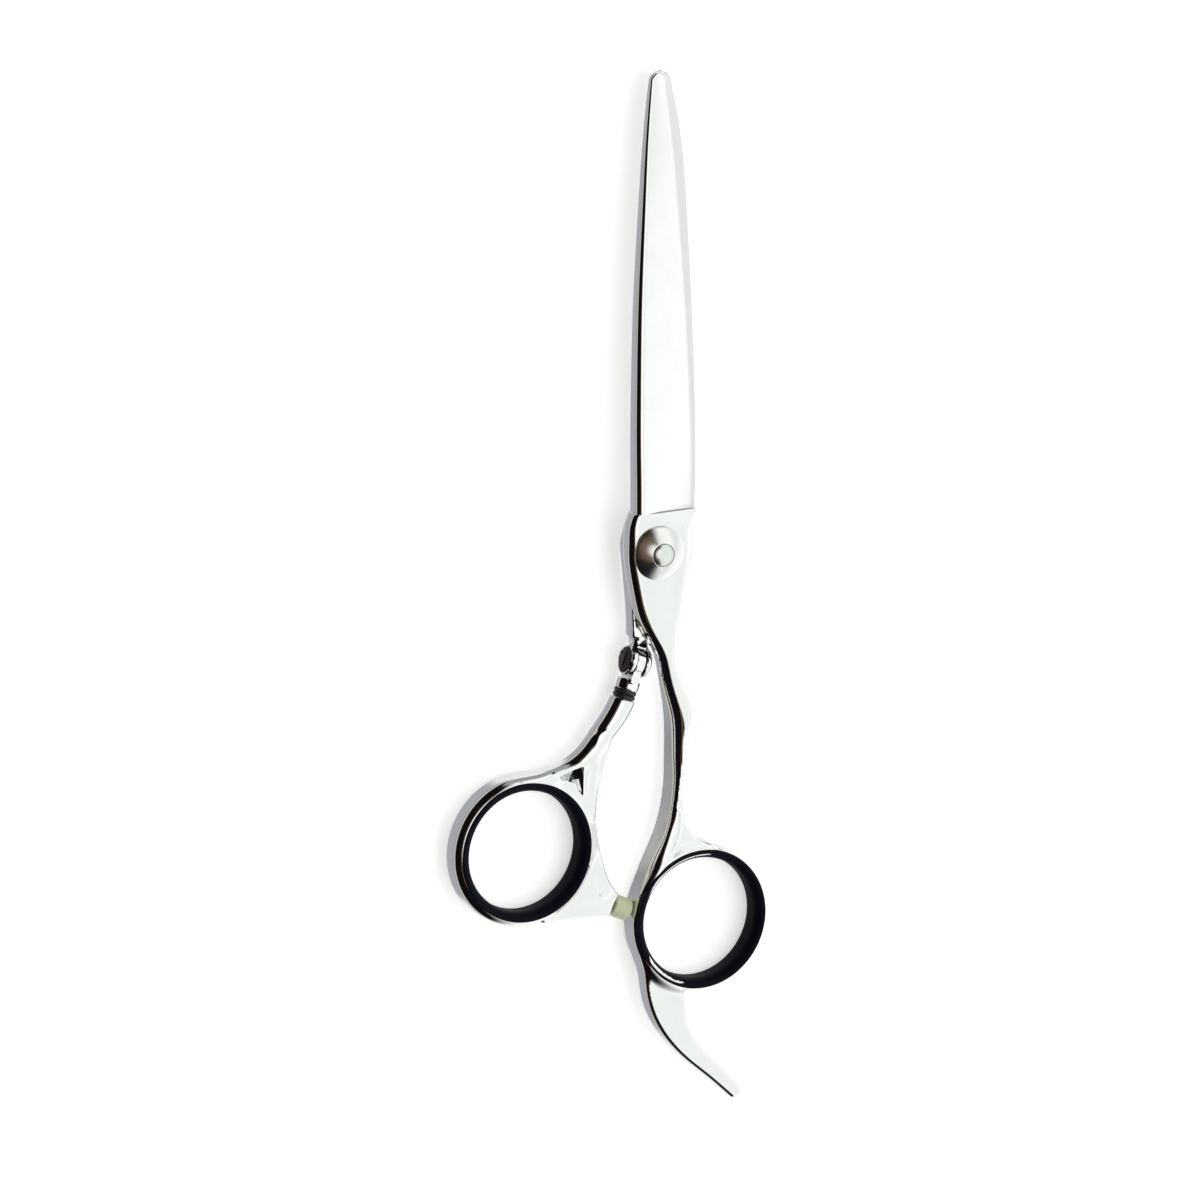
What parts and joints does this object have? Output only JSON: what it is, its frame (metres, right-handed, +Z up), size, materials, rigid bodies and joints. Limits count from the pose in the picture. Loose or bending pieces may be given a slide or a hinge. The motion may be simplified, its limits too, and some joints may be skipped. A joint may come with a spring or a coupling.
{
  "type": "hair cutting shears",
  "caption": "Offset-handle hair cutting shears with a tension dial, a double-swivel thumb ring, soft ring inserts, a finger tang and a silent bumper.",
  "frame": {"origin": "where the pivot axis meets the surface that the closed shears lie on, at the middle of the pivot bolt's flat head", "axes": "+Y along the blades to the tips, +X towards the finger blade's cutting edge, +Z up through the tension dial"},
  "size_m": [0.0557, 0.1708, 0.0084],
  "materials": {
    "polished_steel": "mirror-polished stainless steel",
    "bright_steel": "polished stainless steel",
    "spring_steel": "ground spring steel",
    "blackened_steel": "blackened steel, satin",
    "bronze": "plain bearing bronze",
    "dark_nylon": "moulded, satin",
    "green_silicone": "translucent yellow-green silicone",
    "black_rubber": "soft moulded rubber, satin"
  },
  "bodies": {
    "finger_half": {"finger_blade": "polished_steel", "finger_ring_insert": "black_rubber", "pivot_bush": "bronze"},
    "thumb_half": {"thumb_blade": "polished_steel", "pivot_bolt": "bright_steel", "glide_washer": "bronze", "spring_washer": "spring_steel", "click_plate": "spring_steel", "dial_cap_screw": "bright_steel", "swivel_cross_screw": "blackened_steel", "knuckle_washers": "dark_nylon"},
    "dial": {"tension_dial": "bright_steel"},
    "swivel_link": {"swivel_link": "bright_steel", "knuckle_bush": "bronze", "collar_washers": "dark_nylon"},
    "thumb_ring": {"thumb_ring": "polished_steel", "thumb_ring_insert": "black_rubber", "swivel_bush": "bronze", "swivel_retaining_screw": "spring_steel", "bumper": "green_silicone", "bumper_stud": "bronze"}
  },
  "joints": [
    {"name": "blade_pivot", "type": "hinge", "parent": "finger_half", "child": "thumb_half", "pos_m": [0, 0, 0.0033], "axis": [0, 0, -1], "range_deg": [0, 90]},
    {"name": "dial_turn", "type": "hinge", "parent": "thumb_half", "child": "dial", "pos_m": [0, 0, 0.007], "axis": [0, 0, 1], "range_deg": [-180, 180]},
    {"name": "ring_tilt", "type": "hinge", "parent": "thumb_half", "child": "swivel_link", "pos_m": [-0.002, -0.0186, 0.0025], "axis": [0.9455, -0.3256, 0], "range_deg": [-20, 20]},
    {"name": "ring_swivel", "type": "hinge", "parent": "swivel_link", "child": "thumb_ring", "pos_m": [-0.002, -0.0186, 0.0025], "axis": [-0.3256, -0.9455, 0], "range_deg": [-90, 90]}
  ]
}
